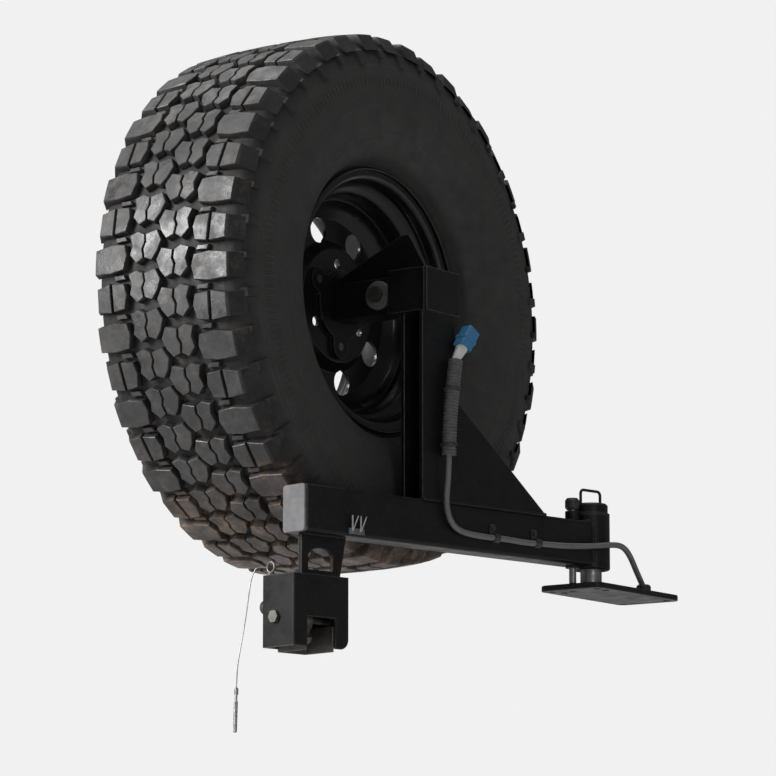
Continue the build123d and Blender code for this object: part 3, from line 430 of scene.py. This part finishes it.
def smooth_outline(points, steps):
    """Catmull-Rom points through an open outline of (radius, y) pairs."""
    last = len(points) - 1
    outline = []
    for index in range(last):
        p0, p1, p2, p3 = (Vector(points[min(max(index + k, 0), last)]) for k in (-1, 0, 1, 2))
        for step in range(steps):
            t = step / steps
            outline.append(0.5 * ((2 * p1) + (p2 - p0) * t + (2 * p0 - 5 * p1 + 4 * p2 - p3) * t * t
                                  + (3 * p1 - p0 - 3 * p2 + p3) * t * t * t))
    outline.append(Vector(points[-1]))
    return outline


def wheel_point(angle, radius, y):
    """A point given by its angle about the wheel's axis, and its radius and y in millimetres."""
    return (WHEEL_X + radius * MM * math.cos(angle), WHEEL_Y + y * MM,
            WHEEL_Z + radius * MM * math.sin(angle))


def lathe(name, outline, body, material, turns):
    """A closed outline of (radius, y) in millimetres from the wheel's centre, turned about its axis."""
    points, faces, count = [], [], len(outline)
    for turn in range(turns):
        angle = 2 * math.pi * turn / turns
        for radius, y in outline:
            points.append(wheel_point(angle, radius, y))
    for turn in range(turns):
        here, there = turn * count, (turn + 1) % turns * count
        for index in range(count):
            after = (index + 1) % count
            faces.append((here + index, here + after, there + after, there + index))
    return place_mesh(name, points, faces, body, material)


def curve_line(route):
    """The points of a smooth NURBS line whose control points are the route."""
    data = bpy.data.curves.new("line", "CURVE")
    data.dimensions = "3D"
    data.resolution_u = 24
    spline = data.splines.new("NURBS")
    spline.points.add(len(route) - 1)
    for point, place in zip(spline.points, route):
        point.co = (*place, 1)
    spline.order_u = 3
    spline.use_endpoint_u = True
    holder = bpy.data.objects.new("line", data)
    bpy.context.collection.objects.link(holder)
    evaluated = holder.evaluated_get(bpy.context.evaluated_depsgraph_get())
    mesh = bpy.data.meshes.new_from_object(evaluated)
    line = [vertex.co.copy() for vertex in mesh.vertices]
    bpy.data.objects.remove(holder)
    bpy.data.meshes.remove(mesh)
    return line


def even_steps(line, step):
    """The line walked in equal steps."""
    lengths = [0.0]
    for before, after in zip(line, line[1:]):
        lengths.append(lengths[-1] + (after - before).length)
    count = max(2, round(lengths[-1] / step))
    walked, index = [], 0
    for mark in range(count + 1):
        want = lengths[-1] * mark / count
        while index < len(lengths) - 2 and lengths[index + 1] < want:
            index += 1
        share = (want - lengths[index]) / max(lengths[index + 1] - lengths[index], 1e-9)
        walked.append(line[index].lerp(line[index + 1], min(share, 1.0)))
    return walked


def sweep(line, radii, around):
    """The points and faces of a closed tube along a line, with its own radius at each point."""
    points, faces = [], []
    side = (line[1] - line[0]).orthogonal().normalized()
    for index, (place, radius) in enumerate(zip(line, radii)):
        ahead = (line[min(index + 1, len(line) - 1)] - line[max(index - 1, 0)]).normalized()
        side = (side - ahead * side.dot(ahead)).normalized()
        up = ahead.cross(side)
        for step in range(around):
            angle = 2 * math.pi * step / around
            points.append(place + (side * math.cos(angle) + up * math.sin(angle)) * radius)
    for index in range(len(line) - 1):
        for step in range(around):
            after = (step + 1) % around
            faces.append((index * around + step, index * around + after,
                          (index + 1) * around + after, (index + 1) * around + step))
    last = (len(line) - 1) * around
    faces.append(tuple(reversed(range(around))))
    faces.append(tuple(last + step for step in range(around)))
    return points, faces


def ribbed_tube(name, route, radius, depth, pitch, body, material, around=20):
    """A corrugated tube: each pitch has a crest and a groove, in metres."""
    line = even_steps(curve_line(route), pitch / 4)
    shape = (0.0, -0.1, -1.0, -0.9)
    radii = [radius + depth * shape[index % 4] for index in range(len(line))]
    points, faces = sweep(line, radii, around)
    return place_mesh(name, points, faces, body, material)


WELD_STEP = 0.0011
WELD_SIDES = 10
WELD_END = 0.3


def weld_bead(name, corners, body, width):
    """A rippled fillet weld along a line of corners, thin at both ends."""
    line = even_steps([Vector(corner) for corner in corners], WELD_STEP)
    radii = []
    for index in range(len(line)):
        ripple = 0.86 + 0.14 * abs(math.sin(index * 0.9)) + random.uniform(-0.03, 0.03)
        if index in (0, len(line) - 1):
            ripple = WELD_END
        radii.append(width * ripple)
    points, faces = sweep(line, radii, WELD_SIDES)
    place_mesh(name, points, faces, body, finishes["black_powder_coat"])


# ---------------------------------------------------------------------------------------------
# Finishes by the record's slots
# ---------------------------------------------------------------------------------------------
finishes = {
    "black_powder_coat": powder_coat("black_powder_coat"),
    "worn_powder_coat": worn_paint("worn_powder_coat"),
    "machined_steel": plated("machined_steel", (0.32, 0.32, 0.33)),
    "bearing_steel": plated("bearing_steel", (0.55, 0.55, 0.56), low=0.15, high=0.3, stain=0.05),
    "zinc_plate": plated("zinc_plate", (0.20, 0.195, 0.18), low=0.38, high=0.62, stain=0.5),
    "chrome_nut": plated("chrome_nut", (0.6, 0.6, 0.6), low=0.1, high=0.25, stain=0.15),
    "spring_steel": plated("spring_steel", (0.4, 0.4, 0.42), stain=0.1),
    "stainless_wire": plated("stainless_wire", (0.40, 0.40, 0.40), low=0.25, high=0.4, stain=0.1),
    "black_plastic": plastic("black_plastic", (0.03, 0.03, 0.032)),
    "black_rubber": plastic("black_rubber", (0.018, 0.018, 0.018), 0.6, 0.8),
    "tyre_rubber": tyre_rubber("tyre_rubber"),
    "gloss_black_wheel": wheel_gloss("gloss_black_wheel"),
    "blue_plastic": plastic("blue_plastic", (0.05, 0.23, 0.45), 0.3, 0.45, 0.12),
    "white_plastic": plastic("white_plastic", (0.72, 0.72, 0.7), 0.35, 0.5, 0.15),
    "grey_sleeve": braided("grey_sleeve", (0.10, 0.10, 0.104)),
    # Lighter grey than the conduit's black plastic: a painted highlight along the conduit, with settled dust
    # mixed in.
    "conduit_dust_and_highlight": plastic("conduit_dust_and_highlight", (0.17, 0.17, 0.172), 0.3, 0.45, 0.45),
}


def finish_cad_nodes():
    """Give every CAD node its slot's finish, and round its edges."""
    slots = {row["node"]: row["material_slot"] for row in frame["record"]["subparts"]}
    broad_edges = ("upright_inner_cheek", "upright_outer_cheek", "main_arm", "mount_box",
                   "latch_box", "latch_neck")
    for name, node in nodes.items():
        node.data.materials.clear()
        node.data.materials.append(finishes[slots[name]])
        weld = node.modifiers.new("weld", "WELD")
        weld.merge_threshold = 2e-6
        bevel = node.modifiers.new("edge_round", "BEVEL")
        bevel.width = 0.0018 if name in broad_edges else 0.0008
        bevel.segments = 2
        bevel.limit_method = "ANGLE"
        bevel.angle_limit = math.radians(32)
        evened = node.modifiers.new("even_normals", "WEIGHTED_NORMAL")
        evened.keep_sharp = True
        evened.weight = 90


# ---------------------------------------------------------------------------------------------
# Tyre
# ---------------------------------------------------------------------------------------------
PITCHES = 44
CROWN_R = TYRE_R / MM - 0.5
GROOVE = 14.0


def crown(v):
    """Radius of the tread's face at v millimetres from its middle line."""
    return CROWN_R - 5.5 * (abs(v) / 132) ** 3


def tread_floor(v):
    """Radius of the groove floor; past the shoulder it falls down the sidewall."""
    spread = abs(v)
    if spread <= 128:
        return crown(v) - GROOVE
    return crown(128) - GROOVE - (spread - 128) * 1.6


def make_carcass():
    """The hollow tyre body: sidewalls with raised rings, and the floor of the tread's grooves."""
    outer = [(205, 98), (212, 101), (224, 103), (228, 112), (236, 128), (252, 141), (275, 150.5),
             (305, 156), (335, 157), (362, 154.5), (386, 149.5), (402, 144.5), (413, 137.5), (421, 126),
             (426, 100), (427.5, 50), (428, 0)]
    side = smooth_outline(outer, 9)
    ribs = []
    for radius, y in side:
        lift = sum(1.5 * math.exp(-((radius - centre) / 1.5) ** 2) for centre in (262, 270, 318, 372, 380))
        ribs.append((radius, y + lift if y > 130 else y))
    mirrored = [(radius, -y) for radius, y in reversed(ribs[:-1])]
    inner = [(205, -78), (235, -92), (262, -124), (300, -140), (350, -140), (400, -128), (418, -100),
             (420, 0), (418, 100), (400, 128), (350, 140), (300, 140), (262, 124), (235, 92), (205, 78)]
    outline = ribs + mirrored + inner
    piece = lathe("tyre_carcass", outline, "swing_arm", finishes["tyre_rubber"], 264)
    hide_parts("tyre")


def split_edges(polygon, longest=12.0):
    """The polygon with points added on its long edges, so that blocks follow the tyre's curve."""
    result = []
    for index, (u, v) in enumerate(polygon):
        u2, v2 = polygon[(index + 1) % len(polygon)]
        parts = max(1, math.ceil(math.hypot(u2 - u, v2 - v) / longest))
        for part in range(parts):
            result.append((u + (u2 - u) * part / parts, v + (v2 - v) * part / parts))
    return result


def add_block(points, faces, polygon, shift, flare=2.0, drop=0.0):
    """One tread block: a bevelled top, its edge ring and drafted walls down to the groove floor."""
    outline = split_edges(polygon)
    middle_u = sum(u for u, v in outline) / len(outline)
    middle_v = sum(v for u, v in outline) / len(outline)
    start = len(points)
    count = len(outline)
    for ring in range(3):
        for u, v in outline:
            away = Vector((u - middle_u, v - middle_v))
            size = max(away.length, 1e-6)
            push = (-1.1, 0.0, flare)[ring]
            uu, vv = u + away.x / size * push, v + away.y / size * push
            if ring == 2 and abs(v) > 126:
                vv = math.copysign(146.5, v)
                radius = 408.0
            elif ring == 2:
                radius = tread_floor(vv) - 2.5
            else:
                radius = crown(vv) - (drop if ring == 0 else drop + 1.1)
            points.append(wheel_point((uu + shift) / CROWN_R, radius, vv))
    faces.append(tuple(start + index for index in range(count)))
    for ring in range(2):
        for index in range(count):
            after = (index + 1) % count
            a, b = start + ring * count, start + (ring + 1) * count
            faces.append((a + after, a + index, b + index, b + after))


def make_lugs():
    """Siped, interlocking centre blocks in two rows, and shoulder blocks that are whole or split by turns."""
    pitch = 2 * math.pi * CROWN_R / PITCHES
    centre_low = [(4, 6), (22, -4), (40, 3), (53, 14), (48, 28), (33, 31), (22, 26), (9, 28)]
    centre_high = [(9, 31.5), (22, 29.5), (33, 34.5), (48, 31.5), (55, 44),
                   (41, 58), (25, 54), (8, 60), (3, 44)]
    shoulder_whole = [(22, 70), (40, 65), (62, 71), (66, 98), (64, 132), (24, 132), (19, 98)]
    shoulder_inner = [(22, 70), (40, 65), (62, 71), (65, 93), (20, 95)]
    shoulder_outer = [(19, 100), (66, 98), (63, 127), (25, 127)]
    tie_bar = [(7, 74), (14, 70), (15, 92), (7, 94)]
    points, faces = [], []
    for side in (1, -1):
        offset = 0.0 if side > 0 else pitch * 0.5
        for index in range(PITCHES):
            if index % 2:
                shoulder = [(shoulder_whole, 0.0)]
            else:
                shoulder = [(shoulder_inner, 0.0), (shoulder_outer, 0.0)]
            for block, drop in [(centre_low, 0.0), (centre_high, 0.3), (tie_bar, 5.0), *shoulder]:
                polygon = [(u, v * side) for u, v in block]
                add_block(points, faces, polygon[::side], index * pitch + offset, 1.8, drop)
    place_mesh("tyre_lugs", points, faces, "swing_arm", finishes["tyre_rubber"], smooth=False)


def make_side_ribs():
    """Raised bars down each shoulder, one to a pitch, alternately long and short."""
    points, faces = [], []
    pitch = 360 / PITCHES
    for side in (1, -1):
        for index in range(PITCHES):
            long_bar = index % 2 == 0
            reach = (384, 408) if long_bar else (394, 408)
            half_width = 9.0 if long_bar else 6.0
            middle = math.radians((index + (0.42 if side > 0 else 0.92)) * pitch)
            start = len(points)
            for radius, y, shrink in ((reach[0], 149.5, 0.8), (reach[0] + 2, 154.2, 0.7),
                                      (reach[1], 149.0, 0.75), (reach[1] + 6, 138.0, 0.8)):
                for edge in (-1, 1):
                    angle = middle + edge * half_width * shrink / radius
                    points.append(wheel_point(angle, radius, side * y))
            for radius, y in ((reach[0] + 2, 144), (reach[1], 140)):
                for edge in (-1, 1):
                    angle = middle + edge * half_width / radius
                    points.append(wheel_point(angle, radius, side * y))
            quads = [(0, 1, 3, 2), (2, 3, 5, 4), (4, 5, 7, 6), (2, 4, 10, 8), (3, 9, 11, 5),
                     (0, 2, 8), (1, 9, 3), (4, 6, 10), (5, 11, 7)]
            for quad in quads:
                order = quad if side > 0 else tuple(reversed(quad))
                faces.append(tuple(start + corner for corner in order))
    place_mesh("tyre_shoulder_bars", points, faces, "swing_arm", finishes["tyre_rubber"],
               smooth=False)


def make_serrations():
    """A ring of fine radial ridges on each sidewall, between its raised rings."""
    points, faces = [], []
    count = 220
    for side in (1, -1):
        for index in range(count):
            middle = 2 * math.pi * index / count
            start = len(points)
            for radius, y in ((346, 156.5), (349, 157.6), (363, 156.2), (366, 154.2)):
                for edge in (-1, 0, 1):
                    angle = middle + edge * 2.2 / radius
                    lift = y if edge == 0 else y - 1.2
                    points.append(wheel_point(angle, radius, side * lift))
            for row in range(3):
                for edge in range(2):
                    corner = start + row * 3 + edge
                    quad = (corner, corner + 1, corner + 4, corner + 3)
                    faces.append(quad if side > 0 else tuple(reversed(quad)))
    place_mesh("tyre_serrations", points, faces, "swing_arm", finishes["tyre_rubber"],
               smooth=False)


# ---------------------------------------------------------------------------------------------
# Rim
# ---------------------------------------------------------------------------------------------
def make_rim():
    """The rolled steel rim with rounded flanges, bead seats, humps, well and stepped outer barrel."""
    half = 101.6
    outside = [(217, -half - 9.2), (220.5, -half - 7), (220.8, -half - 3), (218, -half - 0.6),
               (212, -half + 0.2), (206, -half + 1), (203, -half + 4), (201.6, -half + 16),
               (202.6, -half + 21), (200, -half + 26), (194, -half + 32), (186, -half + 37),
               (184, -half + 42), (184, -30), (184, -17), (186, -9), (190, 3), (192, 12), (196, 22),
               (197.5, 32), (199.5, 48), (200.5, 62), (202.6, half - 21), (201.6, half - 16),
               (203, half - 4), (206, half - 1), (212, half - 0.2), (218, half + 0.6),
               (220.8, half + 3), (220.5, half + 7), (217, half + 9.2)]
    wall = 3.8
    inside = []
    for index in range(len(outside) - 1, -1, -1):
        before = Vector(outside[max(index - 1, 0)])
        after = Vector(outside[min(index + 1, len(outside) - 1)])
        run = (after - before).normalized()
        inward = Vector((-run.y, run.x))
        if inward.x > 0 and abs(outside[index][1]) < half:
            inward = -inward
        inside.append(tuple(Vector(outside[index]) + inward * wall))
    outline = smooth_outline(outside, 3) + smooth_outline(inside, 3)
    piece = lathe("rim", outline, "swing_arm", finishes["gloss_black_wheel"], 192)
    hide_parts("rim_barrel")


# ---------------------------------------------------------------------------------------------
# Wiring and lanyard
# ---------------------------------------------------------------------------------------------
LOOM_T = 378.0
SLEEVE_R = 12.0
CONDUIT_R = 5.0
LOOM_S = 25.0 + SLEEVE_R + 3
RUN_S = 25.0 + CONDUIT_R + 2.7
RUN_Z = 66.0
SLEEVE_LOW = 190.0
sleeve_route = [
    arm_point(LOOM_T, LOOM_S, SLEEVE_LOW), arm_point(LOOM_T - 2, LOOM_S, SLEEVE_LOW + 52),
    arm_point(LOOM_T - 7, LOOM_S + 1, SLEEVE_LOW + 106), arm_point(LOOM_T - 16, LOOM_S, 347),
]
conduit_route = [
    sleeve_route[0], sleeve_route[0] + (sleeve_route[0] - sleeve_route[1]) * 0.7,
    arm_point(LOOM_T, RUN_S + 1, 120), arm_point(LOOM_T - 4, RUN_S, 97),
    arm_point(LOOM_T - 16, RUN_S, 78), arm_point(LOOM_T - 36, RUN_S + 1, RUN_Z + 3),
    arm_point(LOOM_T - 80, RUN_S, RUN_Z), arm_point(LOOM_T - 134, RUN_S + 1, RUN_Z + 1),
    arm_point(LOOM_T - 186, RUN_S, RUN_Z - 1), arm_point(LOOM_T - 236, RUN_S + 1, RUN_Z + 1),
    arm_point(LOOM_T - 278, RUN_S, RUN_Z + 2), arm_point(LOOM_T - 306, RUN_S + 2, RUN_Z + 4),
]


def tail_points():
    """The slack stretch of conduit, from the end of the run over the pivot to the gland."""
    start = (conduit_route[-1] - conduit_route[-2]).normalized()
    rest = [(-20, -46, RUN_Z + 10), (12, -49, RUN_Z + 13), (44, -42, RUN_Z + 9), (74, -33, RUN_Z - 2),
            (102, -24, RUN_Z - 17), (127, -17, RUN_Z - 31), (146, -11.5, 24)]
    return [conduit_route[-1], conduit_route[-1] + start * 29 * MM, *(Vector(p) * MM for p in rest)]


def make_loom():
    """The corrugated sleeve, the conduit along the arm, and the slack tail to the gland."""
    sleeve = ribbed_tube("loom_sleeve_ribbed", sleeve_route, SLEEVE_R * MM, 0.0016, 0.0052, "swing_arm",
                         finishes["grey_sleeve"], 28)
    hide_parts("loom_sleeve")
    run = ribbed_tube("conduit_ribbed", conduit_route, CONDUIT_R * MM, 0.0009, 0.0032, "swing_arm",
                      finishes["conduit_dust_and_highlight"])
    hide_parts("conduit")
    tail = ribbed_tube("conduit_tail_ribbed", tail_points(), CONDUIT_R * MM, 0.0009, 0.0032, None,
                       finishes["conduit_dust_and_highlight"])
    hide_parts("conduit_tail")
    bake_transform(tail)


EYE_T, EYE_S, EYE_Z = 704.0, -27.0, -16.0
lanyard_route = [
    arm_point(EYE_T, EYE_S - 10, EYE_Z + 3), arm_point(EYE_T + 6, EYE_S - 17, EYE_Z + 6),
    arm_point(EYE_T + 12, EYE_S - 24, EYE_Z + 1), arm_point(EYE_T + 16, EYE_S - 29, EYE_Z - 16),
    arm_point(EYE_T + 18, EYE_S - 32, EYE_Z - 43), arm_point(EYE_T + 20, EYE_S - 35, EYE_Z - 71),
    arm_point(EYE_T + 23, EYE_S - 38, EYE_Z - 98), arm_point(EYE_T + 27, EYE_S - 41, EYE_Z - 126),
    arm_point(EYE_T + 31, EYE_S - 43, EYE_Z - 155), arm_point(EYE_T + 32, EYE_S - 43, EYE_Z - 184),
]


def make_lanyard():
    """The wire rope that hangs from the eye and ends in the crimp and pin."""
    data = bpy.data.curves.new("lanyard_wire", "CURVE")
    data.dimensions = "3D"
    data.resolution_u = 24
    data.bevel_depth = 0.001
    data.bevel_resolution = 4
    data.use_fill_caps = True
    spline = data.splines.new("NURBS")
    spline.points.add(len(lanyard_route) - 1)
    for point, place in zip(spline.points, lanyard_route):
        point.co = (*place, 1)
    spline.order_u = 3
    spline.use_endpoint_u = True
    data.materials.append(finishes["stainless_wire"])
    wire = bpy.data.objects.new("lanyard_wire", data)
    bpy.context.collection.objects.link(wire)
    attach(wire, "swing_arm")
    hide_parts("lanyard_cable")


# ---------------------------------------------------------------------------------------------
# Springs
# ---------------------------------------------------------------------------------------------
def make_spring(name):
    """A copy of the spring's coil in spring steel, riding on the swing arm; its fixed end lies outward."""
    source = nodes[name]
    mesh = source.data.copy()
    mesh.materials.clear()
    mesh.materials.append(finishes["spring_steel"])
    coil = bpy.data.objects.new(f"{name}_coil", mesh)
    coil.matrix_world = source.matrix_world.copy()
    bpy.context.collection.objects.link(coil)
    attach(coil, "swing_arm")
    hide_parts(name)
    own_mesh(coil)


# ---------------------------------------------------------------------------------------------
# Welds
# ---------------------------------------------------------------------------------------------
def make_welds():
    """Beads where plates and tubes meet on the arm, hub, neck and box, and round the spindle's foot."""
    arm_low, arm_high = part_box("main_arm")
    bottom, top = arm_low.z / MM, arm_high.z / MM
    for side, label in ((25.0, "inner"), (-25.0, "outer")):
        weld_bead(f"weld_cheek_{label}", [arm_point(136, side, top), arm_point(422, side, top)],
                  "swing_arm", 0.0034)
        weld_bead(f"weld_hub_{label}", [arm_point(20.5, side - math.copysign(1, side), bottom + 6),
                                        arm_point(20.5, side - math.copysign(1, side), top - 6)],
                  "swing_arm", 0.0038)
        weld_bead(f"weld_end_{label}", [arm_point(675.5, side, bottom + 6), arm_point(675.5, side, top - 6)],
                  "swing_arm", 0.0026)
    rim = []
    for step in range(-9, 10):
        angle = step * math.radians(5)
        rim.append(arm_point(32.5 * math.cos(angle), 32.5 * math.sin(angle), top))
    weld_bead("weld_hub_top", rim, "swing_arm", 0.0036)
    weld_bead("weld_neck_inner", [arm_point(574, 4, bottom), arm_point(666, 4, bottom)], "swing_arm", 0.003)
    weld_bead("weld_neck_foot", [arm_point(588, 4, -26), arm_point(666, 4, -26)], "swing_arm", 0.003)
    box_low, box_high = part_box("mount_box_face")
    for x, label in ((box_low.x, "left"), (box_high.x, "right")):
        ends = [(x, box_high.y, box_low.z + 0.004), (x, box_high.y, box_high.z - 0.004)]
        weld_bead(f"weld_face_{label}", ends, "swing_arm", 0.0024)
    foot = []
    for step in range(37):
        angle = math.radians(step * 10)
        foot.append((0.0228 * math.cos(angle), 0.0228 * math.sin(angle), 0.0105))
    weld_bead("weld_spindle", foot, "base", 0.0032)


make_camera()
make_lanyard()
finish_cad_nodes()
make_carcass()
make_lugs()
make_side_ribs()
make_serrations()
make_rim()
make_loom()
make_spring("plunger_spring")
make_spring("release_spring")
make_welds()
make_stage()
